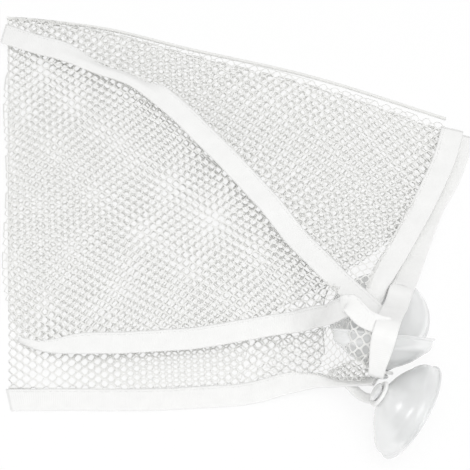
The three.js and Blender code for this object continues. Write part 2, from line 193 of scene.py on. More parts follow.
# %% Routes in millimetres
head_top = CUP_DEPTH + NECK_LENGTH + HEAD_LENGTH
over_head = head_top + TAPE_THICK / 2 + FIT  # middle of a tape that lies on the upper cup's head
flap_route = through([
    (-127.5, 124.5, 6), (-112, 116, 9.5), (-94, 108, 13), (-73, 97.5, 15), (-54, 88.5, 16),
    (-36, 73, 16), (-16, 51, 16), (17, 10.5, 16), (32.6, -12.8, 17), (42.6, -26.1, 19.5),
    (52, -39.2, 23), (56.8, -46.1, 25.5), (61.6, -52.9, 28.5), (65.9, -59.9, 33), (69.4, -67.3, 39.2),
    (72, -74.5, 42.5),
])
side_route = through([
    (-109.5, -61, 4), (-98, -67, 6.5), (-73.5, -69, 9), (-24.5, -66.5, 9), (0, -62.5, 9),
    (15.5, -60, 10.5), (30.5, -60.5, 16), (39.2, -63.8, 27), (46.6, -70.3, 43), (52.5, -73.4, 55),
    (55.9, -73.8, 60.5), (59.1, -78.2, 62.5), (63.1, -82.9, 62.5), (68.9, -85.7, 62), (75.7, -86.8, 61),
])
base_route = through([
    (-114.5, -97, TAPE_LOW), (-81, -97, TAPE_LOW), (-43, -97, TAPE_LOW), (-24.5, -96, TAPE_LOW),
    (0, -94.5, TAPE_LOW + 0.1), (12.5, -92.6, 2), (20, -90.8, 3), (29.3, -89.3, 5), (41.3, -90.1, 9),
    (50.2, -93, 13), (57.5, -95.2, 17), (65.1, -97.9, 24), (69.2, -100.6, 29),
])
flap_end_route = through([
    (117, 62.5, 5), (112, 44.5, 6), (104.5, 25.5, 8), (98, 11, 10), (91, -4, 13),
    (83.2, -20.5, 17), (78.2, -30.5, 20), (74.7, -38.5, 22.8), (72.1, -44.9, over_head),
    (70.2, -50.3, over_head + 0.2), (68.8, -54.4, over_head + 0.4),
])
ridge = np.array([73.1, -89.8, 62.6])  # where the strap crosses the middle cup's rim
rear_route = through([
    (123.5, 61, TAPE_LOW), (118.5, 46, TAPE_LOW), (113, 31.5, 1.5), (105, 16, 3), (99.5, 1, 6),
    (94, -16, 10), (87.5, -37, 17), (84, -48, head_top + 2), (81.5, -58, head_top + 7),
    (77, -74, (head_top + 7 + ridge[2]) / 2), ridge, (71.1, -96.2, 55), (69.1, -103.5, 43),
])
SIDE_LEAN = np.radians(30)  # of the side tape, back against the net where it climbs
side_route.roll = lambda t: SIDE_LEAN * smooth(0.62, 0.70, t) * (1 - smooth(0.83, 0.90, t))
routes = (flap_route, side_route, base_route, flap_end_route, rear_route)
print("tape lengths, mm:", np.round([route.length for route in routes]).tolist())


# %% Widths and bends along the tapes
def tapered(share, start, end=1.0):
    """Full width as far as start, then narrowing smoothly by that share until the end."""
    return lambda t: 1 - share * smooth(start, end, t)


flap_width = tapered(0.15, 0.93)
side_width = tapered(0.15, 0.7)
base_width = tapered(0.6, 0.72, 0.9)
flap_end_width = tapered(0.15, 0.8)
rear_width = tapered(0.35, 0.6, 0.75)


def full(t):
    """No narrowing."""
    return np.ones_like(t)


def lies_flat(t, across):
    """No bend: the place across the tape stays, and nothing hangs."""
    return across + 0 * t, 0 * (across + t)


FLAP_BEND_AT = -1.6  # line along the flap's tape that it bends at, from its middle
FLAP_BEND = np.radians(46)
TIP_SHARE = 0.1  # width of the side tape's tip against its full width
TIP_IN, TIP_HANG = 9.5, 2.4  # how far the tip's sewn edge lies in, and its free edge hangs


def flap_lie(t, across):
    """Before the crease the sewn half of the flap's tape hangs down from a lengthwise bend.

    Beyond the bend line, across shrinks by the cosine of the angle and the drop is its sine."""
    angle = FLAP_BEND * smooth(0.10, 0.22, t) * (1 - smooth(0.29, 0.34, t))
    beyond = np.maximum(across - FLAP_BEND_AT, 0)
    return np.minimum(across, FLAP_BEND_AT) + beyond * np.cos(angle), -beyond * np.sin(angle)


def side_lie(t, across):
    """The side tape comes out of the fold tucked under itself: a narrow tip that opens to full
    width, its free edge hanging a little until then."""
    opened = TIP_SHARE + (1 - TIP_SHARE) * smooth(-0.02, 0.17, t)
    from_sewn = TAPE_WIDTH / 2 - across
    sewn_edge = TAPE_WIDTH / 2 - TIP_IN * (1 - opened)
    return sewn_edge - from_sewn * opened, -TIP_HANG * (1 - opened) * (from_sewn / TAPE_WIDTH) ** 2


widths = (flap_width, side_width, base_width, flap_end_width, rear_width)
print("share of the width left at the tapes' ends:", [round(float(w(1.0)), 2) for w in widths])


# %% [markdown]
# ## Frames along a tape
#
# A tape lies flat on what is under it. At each point its width is level and square to its
# route, unless the tape leans or is bent lengthwise there. A frame that is carried along
# without twist would be the usual way, but it would tip the tapes over on their bends. From
# the level frame come the tape's own surface, the stitches on it and the line where the net
# goes in between its two leaves.

# %% Frames and seams
NEAR = 0.004  # share of a route, either way, over which its direction is taken
SEWN_IN = 2.0  # how far a net's edge goes in from the edge of its tape


def tape_frame(route, t):
    """Point, direction, sideways and upward vectors at shares t of a route.

    Sideways is the up axis times the direction, upward is the direction times sideways, and
    both are turned about the direction by the route's own roll."""
    t = np.atleast_1d(np.asarray(t, float))
    along = unit(route(t + NEAR) - route(t - NEAR))
    level = unit(np.cross([0, 0, 1.0], along))
    over = np.cross(along, level)
    turn, lean = np.cos(route.roll(t))[:, None], np.sin(route.roll(t))[:, None]
    return route(t), along, level * turn + over * lean, over * turn - level * lean


def seam(route, hand, start=0.0, end=1.0, width=full, lie=lies_flat, drop=None, inset=SEWN_IN):
    """The line where a net's edge is sewn in: hand +1 or -1 says on which side of the tape.

    It lies inset millimetres inside the tape's edge and drop millimetres below its middle."""

    def line(s):
        s = np.atleast_1d(np.asarray(s, float))
        t = start + (end - start) * s
        at, _, side, up = tape_frame(route, t)
        off, hang = lie(t, hand * (TAPE_WIDTH / 2 * width(t) - inset))
        low = 0 if drop is None else drop(t)
        return at + side * off[:, None] + up * (hang - low)[:, None]

    return line


# %% [markdown]
# ## From arrays to a Blender mesh
#
# All the pieces are computed as whole arrays. One function puts them into a mesh, in metres
# and in the part's frame, with the object itself at the origin. Another joins rows of points
# into a grid of quads.

# %% Mesh helpers
def piece(name, points, faces, material, uv=None, shade_smooth=True):
    """A mesh object from points in millimetres (n, 3) and faces (m, k), or a list of faces."""
    mesh = bpy.data.meshes.new(name)
    listed = faces.tolist() if isinstance(faces, np.ndarray) else faces
    mesh.from_pydata(((np.asarray(points) + SHIFT) * MM).tolist(), [], listed)
    mesh.update()
    if uv is not None:
        corners = np.empty(len(mesh.loops), int)
        mesh.loops.foreach_get("vertex_index", corners)
        layer = mesh.uv_layers.new(name="UVMap")
        layer.data.foreach_set("uv", np.asarray(uv, np.float32)[corners].ravel())
    mesh.polygons.foreach_set("use_smooth", np.full(len(mesh.polygons), shade_smooth))
    mesh.materials.append(material)
    obj = bpy.data.objects.new(name, mesh)
    bpy.context.scene.collection.objects.link(obj)
    return obj


def grid_quads(rows, columns, wrap=False):
    """Quads between neighbouring rows of a grid of points; wrap joins the last column to the first."""
    wide = columns if wrap else columns - 1
    i, k = np.meshgrid(np.arange(rows - 1), np.arange(wide), indexing="ij")
    n = (k + 1) % columns
    here, ahead = i * columns, (i + 1) * columns
    return np.stack([here + k, here + n, ahead + n, ahead + k], -1).reshape(-1, 4)


# %% [markdown]
# ## Colours and shader nodes
#
# Colours are written as sRGB hex values, as they would be read off a screen, and turned to
# the linear values that the shaders work with. One function adds a node with its settings
# and its links.

# %% Colour and node helpers
def colour(hex_value):
    """sRGB hex to linear RGBA: below 0.04045 divide by 12.92, above it use the 2.4 power."""
    channel = np.array([int(hex_value[i:i + 2], 16) for i in (1, 3, 5)]) / 255
    linear = np.where(channel <= 0.04045, channel / 12.92, ((channel + 0.055) / 1.055) ** 2.4)
    return (*linear.tolist(), 1.0)


def add(tree, kind, settings=None, **inputs):
    """Adds one node: settings are its own attributes, inputs are values or links by socket name."""
    node = tree.nodes.new(kind)
    for key, value in (settings or {}).items():
        setattr(node, key, value)
    for name, value in inputs.items():
        socket = node.inputs[int(name[1:]) if name[0] == "_" else name.replace("_", " ")]
        if isinstance(value, bpy.types.NodeSocket):
            tree.links.new(value, socket)
        else:
            socket.default_value = value
    return node


def material_tree(name):
    """A new material with its Principled shader, ready to take nodes."""
    made = bpy.data.materials.new(name)
    made.use_nodes = True
    return made, made.node_tree, made.node_tree.nodes["Principled BSDF"]


# %% [markdown]
# ## Binding tape
#
# The tape is woven polyester, about 12 mm wide once it is folded over the net's edge. It is
# matt and slightly ribbed across. It has two leaves with a fold along the free edge, so the
# profile is a flat U, and the net goes in between the leaves. The profile is carried along
# the route. A strip of plain box shapes would be simpler, but it would show no fold, no
# open sewn edge and no ripple.

# %% Woven polyester tape
# Threads of a real tape lie about 0.4 mm apart, too fine to show at this distance, so the
# ribs are drawn at 1.1 mm. The UV map is in millimetres along and across the tape. The weave
# looks matt, with a faint bloom at grazing angles, and its white drifts over some 6 mm.
RIB_PITCH, RIB_DEPTH, DRIFT = 1.1, 0.2, 6.25
woven_tape, tree, shader = material_tree("woven_polyester_tape")
place = add(tree, "ShaderNodeUVMap").outputs["UV"]
ribs = add(tree, "ShaderNodeTexWave", {"bands_direction": "X"},
           Vector=place, Scale=2 * np.pi / 20 / RIB_PITCH, Distortion=0.6, Detail=1.0)
cloud = add(tree, "ShaderNodeTexNoise", None, Vector=place, Scale=1 / DRIFT, Detail=3.0)
tone = add(tree, "ShaderNodeMix", {"data_type": "RGBA"}, Factor=cloud.outputs["Fac"],
           _6=colour("#F3F3F2"), _7=colour("#FCFCFB"))
bump = add(tree, "ShaderNodeBump", None, Height=ribs.outputs["Fac"], Strength=0.25,
           Distance=RIB_DEPTH * MM)
tree.links.new(tone.outputs[2], shader.inputs["Base Color"])
tree.links.new(bump.outputs["Normal"], shader.inputs["Normal"])
shader.inputs["Roughness"].default_value = 0.8
shader.inputs["IOR"].default_value = 1.5
shader.inputs["Specular IOR Level"].default_value = 0.2
shader.inputs["Sheen Weight"].default_value = 0.15
shader.inputs["Sheen Roughness"].default_value = 0.5
print("material:", woven_tape.name, "ribs, mm:", RIB_PITCH)


# %% The folded profile carried along a route
LEAF = 0.55  # thickness of one leaf
CROWN = 0.12  # rise of the top leaf's middle over its edges
FOLD_GAP = 0.3  # between the fold and the straight part of the leaves, inside
LONG_WAVE, LONG_RISE = 37, 0.22  # ripple of laid tape, mm
SHORT_WAVE, SHORT_RISE = 17, 0.1
SLANT_FADE = 25  # length over which a slanted end's shear fades


def folded_profile():
    """The U of a tape folded over an edge, (across, up) in millimetres, the fold at -half width.

    Outside: along the top leaf, half a circle round the fold, back under the bottom leaf.
    Inside: the same way at the leaves' inner faces."""
    half, thick, inner = TAPE_WIDTH / 2, TAPE_THICK / 2, TAPE_THICK / 2 - LEAF
    top = np.linspace(half, -half + thick, 12)
    bend = np.radians(np.linspace(90, 270, 9))[1:-1]
    back = np.linspace(-half + thick, half, 8)
    inside = np.linspace(half, -half + 2 * LEAF + FOLD_GAP, 6)
    crown = CROWN * np.cos(np.pi * (top + 0.5) / TAPE_WIDTH)
    return np.vstack([
        np.column_stack([top, thick - CROWN + crown]),
        np.column_stack([-half + thick + thick * np.cos(bend), thick * np.sin(bend)]),
        np.column_stack([back, np.full_like(back, -thick)]),
        np.column_stack([inside, np.full_like(inside, -inner)]),
        [[-half + 2 * LEAF, 0]],
        np.column_stack([inside[::-1], np.full_like(inside, inner)]),
    ])


def ripple(t, length, phase):
    """Gentle unevenness of laid tape: a long and a short sine wave, raised so that they only
    lift the tape, and fading at both ends."""
    way = 2 * np.pi * t * length
    long_wave = LONG_RISE * (1 + np.sin(way / LONG_WAVE + phase))
    short_wave = SHORT_RISE * (1 + np.sin(way / SHORT_WAVE + 2 * phase))
    return (long_wave + short_wave) * smooth(0, 0.06, t) * (1 - smooth(0.94, 1, t))


def binding(name, route, hand, width=full, lie=lies_flat, phase=0.0, slant=0.0, step=1.8):
    """A folded tape along a route, its open side on the net's hand; ends are closed.

    The first end is cut at a slant: its points move along the route by slant times across."""
    profile = folded_profile() * [hand, 1]
    t = np.linspace(0, 1, int(route.length / step))
    at, along, side, up = tape_frame(route, t)
    lift = ripple(t, route.length, phase)[:, None]
    across, hang = lie(t[:, None], profile[None, :, 0] * width(t)[:, None])
    high = profile[None, :, 1] + lift + hang
    sheared = slant * across * (1 - smooth(0, SLANT_FADE, t * route.length))[:, None]
    points = at[:, None] + side[:, None] * across[..., None] + up[:, None] * high[..., None]
    points = points + along[:, None] * sheared[..., None]
    rows, columns = across.shape
    quads = grid_quads(rows, columns, wrap=True)
    faces = (quads if hand < 0 else quads[:, ::-1]).tolist()
    first, last = np.arange(columns), np.arange(columns) + (rows - 1) * columns
    faces += [first.tolist() if hand > 0 else first[::-1].tolist()]
    faces += [last[::-1].tolist() if hand > 0 else last.tolist()]
    way = (t * route.length)[:, None]
    uv = np.stack(np.broadcast_arrays(way, profile[None, :, 0]), -1).reshape(-1, 2)
    made = piece(name, points.reshape(-1, 3), faces, woven_tape, uv)
    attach(made, "bag")
    return made


# %% The five bindings
# For each node: the piece's name, route, hand, width, bend, ripple phase and slant of the cut.
bound = {
    "flap_binding": ("flap_edge_tape", flap_route, 1, flap_width, flap_lie, 0.4, -0.33),
    "side_binding": ("side_edge_tape", side_route, 1, side_width, side_lie, 1.7, 0.0),
    "base_binding": ("base_edge_tape", base_route, 1, base_width, lies_flat, 2.9, -0.25),
    "flap_end_binding": ("flap_end_tape", flap_end_route, -1, flap_end_width, lies_flat, 0.9, 0.0),
    "rear_end_binding": ("rear_end_tape", rear_route, -1, rear_width, lies_flat, 2.2, 0.0),
}
tapes = {node: binding(*told) for node, told in bound.items()}
for node, made in tapes.items():
    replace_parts(made, node)
print("tape points:", {n: len(o.data.vertices) for n, o in tapes.items()})


# %% [markdown]
# ## The strap and the loop
#
# Over the middle cup the rear tape is doubled by a second one with a rounded start, the strap.
# From the end of the base tape a narrow loop goes on to the lower cup. Both are folded tapes
# like the others, so the same function makes them. The strap's route is the rear tape's own,
# one thickness higher, so the two can't cut each other.

# %% The strap and the loop
STRAP_FROM = 0.578  # share of the rear tape where the doubled strap begins
STRAP_ROUND = 0.04  # share of the strap over which its start is rounded
LOOP_WIDTH = 0.42  # against a full tape


def strap_width(t):
    """Grows from nothing like an ellipse over the first share, then narrows towards the end."""
    begun = np.clip(t / STRAP_ROUND, 0.02, 1)
    return np.sqrt(1 - (1 - begun) ** 2) * tapered(0.35, 0.75)(t)


strap_at, _, _, strap_up = tape_frame(rear_route, np.linspace(STRAP_FROM, 1, 16))
strap_route = through(strap_at + strap_up * (TAPE_THICK + LAID))
loop_route = through([(57, -95.6, 16), (60.5, -99.5, 15), (64.7, -104.1, 18), (69.9, -106.8, 22)])
strap = binding("strap_tape", strap_route, -1, strap_width, phase=1.1)
loop = binding("base_tape_loop", loop_route, 1, lambda t: LOOP_WIDTH * full(t), phase=0.2)
print("strap and loop points:", len(strap.data.vertices), len(loop.data.vertices))


# %% [markdown]
# ## Stitches
#
# One row of lockstitch runs along each tape's sewn edge, on both faces. A stitch is a short
# thread that dips in at both ends. A bump texture could hint at it, but it would not catch
# the light at the tape's edge, so it is a small spindle of four sides. One spindle is made
# and placed at every 3.2 mm by the tape's own frame.

# %% Sewing thread
# Spun thread is as white as the tape and a little smoother. Its twist is about 0.3 mm; it is
# drawn at 0.8 mm so that it shows up close.
TWIST = 0.8
sewing_thread, tree, shader = material_tree("spun_polyester_sewing_thread")
place = add(tree, "ShaderNodeTexCoord").outputs["Object"]
twist_bands = add(tree, "ShaderNodeTexWave", {"bands_direction": "DIAGONAL"},
                  Vector=place, Scale=2 * np.pi / 20 / (TWIST * MM))
tone = add(tree, "ShaderNodeMix", {"data_type": "RGBA"}, Factor=twist_bands.outputs["Fac"],
           _6=colour("#F2F2F1"), _7=colour("#FAFAF9"))
tree.links.new(tone.outputs[2], shader.inputs["Base Color"])
shader.inputs["Roughness"].default_value = 0.6
shader.inputs["IOR"].default_value = 1.5
print("material:", sewing_thread.name, "twist, mm:", TWIST)


# %% Rows of stitches
STITCH_PITCH, STITCH_LONG, STITCH_HALF = 3.2, 2.7, 0.13
STITCH_IN, STITCH_PROUD = 1.7, 0.02  # from the tape's sewn edge, and above its face
STITCHED_FROM = {"side_binding": 0.04}  # share where a row begins, if not at the tape's start
STITCHED_TO = 0.97


def spindle():
    """A stitch lying along x: four-sided rings that swell and rise in the middle, tips at both ends."""
    x = np.array([-0.5, -0.32, 0.0, 0.32, 0.5]) * STITCH_LONG
    swell = np.array([0.25, 0.85, 1.0, 0.85, 0.25]) * STITCH_HALF
    rise = np.array([-0.12, 0.06, 0.12, 0.06, -0.12])
    turn = np.radians([45, 135, 225, 315])
    ring = np.stack(np.broadcast_arrays(
        x[:, None], swell[:, None] * np.cos(turn), rise[:, None] + swell[:, None] * np.sin(turn)), -1)
    rings, corners = len(x), len(turn)
    first = np.arange(corners)
    last = first + (rings - 1) * corners
    return ring.reshape(-1, 3), np.vstack([grid_quads(rings, corners, wrap=True), first[::-1], last])


def stitched(route, hand, width, lie, phase, start):
    """Points (stitches, points of a spindle, 3) of one tape's rows, first the upper, then the lower.

    A spindle's x goes along the tape, its y sideways and its z out of the face."""
    local, _ = spindle()
    x, y, z = local[None, :, :1], local[None, :, 1:2], local[None, :, 2:]
    first, last = start * route.length + 2, STITCHED_TO * route.length - 2
    t = np.arange(first, last, STITCH_PITCH) / route.length
    at, along, side, up = tape_frame(route, t)
    off, hang = lie(t, hand * (TAPE_WIDTH / 2 - STITCH_IN) * width(t))
    rows = []
    for face in (1, -1):
        high = face * (TAPE_THICK / 2 + STITCH_PROUD) + ripple(t, route.length, phase) + hang
        middle_of = at + side * off[:, None] + up * high[:, None]
        rows.append(middle_of[:, None] + along[:, None] * x + side[:, None] * (y * face)
                    + up[:, None] * (z * face))
    return np.vstack(rows)


stitches = np.vstack([
    stitched(route, hand, width, lie, phase, STITCHED_FROM.get(node, 0))
    for node, (_, route, hand, width, lie, phase, _) in bound.items()
])
_, stitch_quads = spindle()
stitch_starts = np.arange(len(stitches)) * stitches.shape[1]
stitching = piece("edge_stitching", stitches.reshape(-1, 3),
                  (stitch_quads[None] + stitch_starts[:, None, None]).reshape(-1, 4), sewing_thread)
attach(stitching, "bag")
print("stitches:", len(stitches), "faces:", len(stitching.data.polygons))


# %% [markdown]
# ## The panels' surfaces
#
# Each panel is the surface spanned by its four edges, as a cloth is when its edges are held.
# A simulated cloth would sag out of place between the tapes. A Coons patch gives the held
# surface at once: the blend of the two pairs of opposite edges, less the blend of the
# corners, which was counted twice.

# %% Coons patches
def patch(bottom, top, left, right):
    """Surface of (u, v) in 0..1 through four edge lines, whose ends are pulled to shared corners."""
    ends = np.array([0.0, 1.0])
    b, tp, lf, r = bottom(ends), top(ends), left(ends), right(ends)
    c00, c10 = (b[0] + lf[0]) / 2, (b[1] + r[0]) / 2
    c01, c11 = (tp[0] + lf[1]) / 2, (tp[1] + r[1]) / 2

    def pulled(line, own, start, end):
        return lambda s: line(s) + (start - own[0]) * (1 - s)[:, None] + (end - own[1]) * s[:, None]

    low, high = pulled(bottom, b, c00, c10), pulled(top, tp, c01, c11)
    near, far = pulled(left, lf, c00, c01), pulled(right, r, c10, c11)

    def surface(u, v):
        x, y = u[:, None], v[:, None]
        edges = low(u) * (1 - y) + high(u) * y + near(v) * (1 - x) + far(v) * x
        corners = (c00 * (1 - x) + c10 * x) * (1 - y) + (c01 * (1 - x) + c11 * x) * y
        return edges - corners

    return surface


def part_of(line, start, end):
    """A stretch of a line as a line of its own."""
    return lambda s: line(start + (end - start) * np.atleast_1d(s))


def between(a, b):
    """A straight line from a to b."""
    return lambda s: a + (b - a) * np.atleast_1d(s)[:, None]


def at_least(line, z):
    """A line that is lifted to z where it runs lower."""
    return lambda s: np.maximum(line(s), [-np.inf, -np.inf, z])


def on_table(line):
    """A line laid flat at the level of the lowest net."""
    return lambda s: line(s) * [1, 1, 0] + [0, 0, NET_UNDER]


def meeting(first, second):
    """The shares along two lines where they come nearest to each other in plan."""
    s = np.linspace(0, 1, 401)
    apart = np.linalg.norm(first(s)[:, None, :2] - second(s)[None, :, :2], axis=-1)
    i, k = np.unravel_index(apart.argmin(), apart.shape)
    return s[i], s[k]


# %% The folds
FOLD_LEFT, FOLD_FOOT = -126.0, -92.0  # the left fold's least x, and the y of its foot
FOLD_LEAN, FOLD_RISE = 9.0, 230.0  # it leans by so much over its height


def top_fold(z):
    """The fold along the top, from the left corner to the right."""
    return through([(-126.5, 138, z), (-105, 136, z), (-69, 130, z),
                    (-26.5, 117.5, z), (41, 99, z), (114, 71.5, z)])


def left_fold(start, end, z):
    """The fold down the left side, a straight line that leans a little."""
    y = np.array([start, end])
    x = FOLD_LEFT + FOLD_LEAN * (1 - (y - FOLD_FOOT) / FOLD_RISE)
    return between(np.array([x[0], start, z]), np.array([x[1], end, z]))


print("top fold, mm:", round(top_fold(NET_OVER).length))


# %% The flap and the side panel
flap_seam = seam(flap_route, 1, 0.03, 1, flap_width, flap_lie)
flap_end_seam = seam(flap_end_route, -1, 0, 1, flap_end_width)
flap_to, flap_end_to = meeting(flap_seam, flap_end_seam)
flap_low = part_of(flap_seam, 0, flap_to)
fold_line = top_fold(NET_OVER)
flap_panel = patch(
    flap_low,
    fold_line,
    between(flap_low(0)[0], fold_line(0)[0]),
    part_of(flap_end_seam, flap_end_to, 0.02),
)


HIDDEN_IN, HIDDEN_FALL = 4, 1.2  # in from the flap tape's middle, and its extra fall below


def hidden(s):
    """The side panel's upper edge, which lies out of sight below the flap's tape."""
    s = np.atleast_1d(np.asarray(s, float))
    at, _, side, _ = tape_frame(flap_route, 0.05 + 0.8 * s)
    fall = HIDDEN_FALL * smooth(0.02, 0.35, s) + TAPE_THICK + FIT
    return at + side * HIDDEN_IN - np.array([0, 0, 1]) * fall[:, None]


side_low = seam(side_route, 1, 0.02, 0.78, side_width, side_lie)
side_fold = left_fold(-56, 118, NET_OVER)
side_edge = through([side_low(0)[0], *side_fold([0.1, 0.5, 0.9]), hidden(0)[0]])
side_panel = patch(
    side_low,
    hidden,
    at_least(side_edge, NET_OVER),
    between(side_low(1)[0], hidden(1)[0]),
)
print("flap seam ends at", round(flap_to, 3), "and meets the end tape at", round(flap_end_to, 3))

# %% The rear panel's two layers
BASE_SPLIT = 0.62  # share of the base seam where the flat rear panel ends and its corner begins
UNDER_TO = 0.8  # share of the base seam that the lowest layer goes along
EDGE_IN = 0.4  # of the two flat layers, in the base tape
base_seam = seam(base_route, 1, 0.01, 0.97, base_width)
rear_seam = seam(rear_route, -1, 0, 0.99, rear_width)
corner_foot = np.array([12, -58, NET_LOW + 0.3])
flat_edge = seam(base_route, 1, 0.01, 0.97, base_width, inset=EDGE_IN)
back_panel = patch(
    at_least(part_of(flat_edge, 0, BASE_SPLIT), NET_LOW),
    top_fold(NET_LOW),
    left_fold(-90, 138, NET_LOW),
    at_least(through([base_seam(BASE_SPLIT)[0], corner_foot, (34, -42, 3), (53, -33, 3), (72, -20, 3),
                      *rear_seam([0.27, 0.14, 0.04])]), NET_LOW),
)

under_base = on_table(part_of(flat_edge, 0, UNDER_TO))
under_panel = patch(
    under_base,
    top_fold(NET_UNDER),
    left_fold(-90, 138, NET_UNDER),
    on_table(through([under_base(1)[0], (45, -75, 0), (46, -60, 0), (46, -48, 0), (49, -36, 0),
                      (58, -25, 0), (72, -16, 0), *rear_seam([0.24, 0.14, 0.04])])),
)
print("levels of the net layers, mm:", np.round([NET_UNDER, NET_LOW, NET_OVER], 2).tolist())


# %% The drawn-up corner
def under_drop(t):
    """How far the rear panel's corner lies below the side tape's middle."""
    return (TAPE_THICK + NET_THICK) / 2 + FIT * (12 - 7 * smooth(0.68, 0.8, t))


under_side = seam(side_route, -1, 0, 1, lambda t: 0.6 * side_width(t), drop=under_drop, inset=-0.7)
ridge_share = meeting(rear_route, lambda s: np.repeat(ridge[None], len(s), 0))[0]
corner_top = through([corner_foot, (23, -60, 4.2), *under_side([0.62, 0.7, 0.77, 0.85, 0.92]),
                      rear_seam(ridge_share)[0]])
corner_low = part_of(base_seam, BASE_SPLIT, 1)
corner_panel = patch(
    corner_low,
    corner_top,
    between(corner_low(0)[0], corner_top(0)[0]),
    through([corner_low(1)[0], *rear_seam([0.98, (0.98 + ridge_share) / 2]), corner_top(1)[0]]),
)
print("the strap crosses the rim at", round(ridge_share, 3), "of the rear tape")


# %% [markdown]
# ## Knitted net
#
# The net is warp-knitted polyester: rows of six-sided openings, each column half an opening
# higher than the last. The columns are about 3.3 mm apart and the openings 5.1 mm. A texture
# with holes would look right only from afar, so every opening is cut in the mesh. The strands
# are highest along their middle and run down to the rim of each opening, so that they shade
# like yarn. The rear wall lies in two layers on the table, and the second is turned a little,
# so their openings drift apart from the left foot as two laid nets do.
#
# The cells are laid out evenly in plan, as in cloth cut from one roll, and then lifted onto
# the panel's surface. To do that, each point of the plan is traced back to its place (u, v)
# on the patch by a few Newton steps.

# %% Polyester net yarn
# Bundles of bright filaments look white with a soft, uneven gloss. Filaments about 0.25 mm
# apart are too fine to show; the mottling is drawn at 2 mm.
MOTTLE, MOTTLE_DEPTH = 2, 0.1
knitted_net, tree, shader = material_tree("warp_knitted_polyester_net")
place = add(tree, "ShaderNodeTexCoord").outputs["Object"]
fibre = add(tree, "ShaderNodeTexNoise", None, Vector=place, Scale=1 / (MOTTLE * MM), Detail=2.0)
tone = add(tree, "ShaderNodeMix", {"data_type": "RGBA"}, Factor=fibre.outputs["Fac"],
           _6=colour("#ECECEA"), _7=colour("#F8F8F6"))
bump = add(tree, "ShaderNodeBump", None, Height=fibre.outputs["Fac"], Strength=0.3,
           Distance=MOTTLE_DEPTH * MM)
tree.links.new(tone.outputs[2], shader.inputs["Base Color"])
tree.links.new(bump.outputs["Normal"], shader.inputs["Normal"])
shader.inputs["Roughness"].default_value = 0.6
shader.inputs["IOR"].default_value = 1.5
print("material:", knitted_net.name, "mottling, mm:", MOTTLE)


# %% One cell of the net
COLUMN, ROW = 3.3, 5.1
RING = 12  # points round a cell: its six corners and the middles between them
HOLE_SHARE = np.tile([0.78, 0.83], RING // 2)[:, None]  # the opening there, against the cell
YARN = 0.2  # half the thickness of a strand
SELVEDGE = 0.004  # share of a panel kept closed along its edges


def cell_ring():
    """Outline of one cell about its centre, twelve points anticlockwise: the six corners that are
    equally far from three neighbouring centres, and the middles between them."""
    narrow = (COLUMN ** 2 - ROW ** 2 / 4) / (2 * COLUMN)
    wide = (COLUMN ** 2 + ROW ** 2 / 4) / (2 * COLUMN)
    corner = np.array([[wide, 0], [narrow, ROW / 2], [-narrow, ROW / 2],
                       [-wide, 0], [-narrow, -ROW / 2], [narrow, -ROW / 2]])
    return np.stack([corner, (corner + np.roll(corner, -1, 0)) / 2], 1).reshape(-1, 2)


# %% From the plan to the panel
def trace(surface, plan):
    """Places (u, v) whose surface point lies over each plan point, and how far each one misses.

    Starts from the nearest of a coarse grid and takes Newton steps that stay inside 0..1."""
    g = np.linspace(0, 1, 33)
    gu, gv = (a.ravel() for a in np.meshgrid(g, g))
    known = surface(gu, gv)[:, :2]
    nearest = ((plan[:, None] - known[None]) ** 2).sum(-1).argmin(1)
    u, v = gu[nearest], gv[nearest]
    step, limit = 1e-4, 0.2
    for _ in range(10):
        here = surface(u, v)[:, :2]
        un, vn = np.where(u > 0.5, -step, step), np.where(v > 0.5, -step, step)
        du = (surface(u + un, v)[:, :2] - here) / un[:, None]
        dv = (surface(u, v + vn)[:, :2] - here) / vn[:, None]
        miss = plan - here
        det = du[:, 0] * dv[:, 1] - du[:, 1] * dv[:, 0]
        det = np.where(np.abs(det) < 1e-6, 1e-6, det)
        more_u = (miss[:, 0] * dv[:, 1] - miss[:, 1] * dv[:, 0]) / det
        more_v = (du[:, 0] * miss[:, 1] - du[:, 1] * miss[:, 0]) / det
        u = np.clip(u + np.clip(more_u, -limit, limit), 0, 1)
        v = np.clip(v + np.clip(more_v, -limit, limit), 0, 1)
    return u, v, np.linalg.norm(plan - surface(u, v)[:, :2], axis=1)


def normals(surface, u, v):
    """Unit normals by differences along u and v."""
    h = 2e-3
    du = surface(np.minimum(u + h, 1), v) - surface(np.maximum(u - h, 0), v)
    dv = surface(u, np.minimum(v + h, 1)) - surface(u, np.maximum(v - h, 0))
    return unit(np.cross(du, dv))


# %% The net's mesh
ON_PANEL = 0.05  # a cell whose centre misses the panel by more is left out


def crease_edges(mesh, marked):
    """Marks as sharp the edges whose two points are both marked."""
    ends = np.empty(2 * len(mesh.edges), int)
    mesh.edges.foreach_get("vertices", ends)
    sharp = marked[ends.reshape(-1, 2)].all(1)
    mesh.attributes.new("sharp_edge", "BOOLEAN", "EDGE").data.foreach_set("value", sharp)


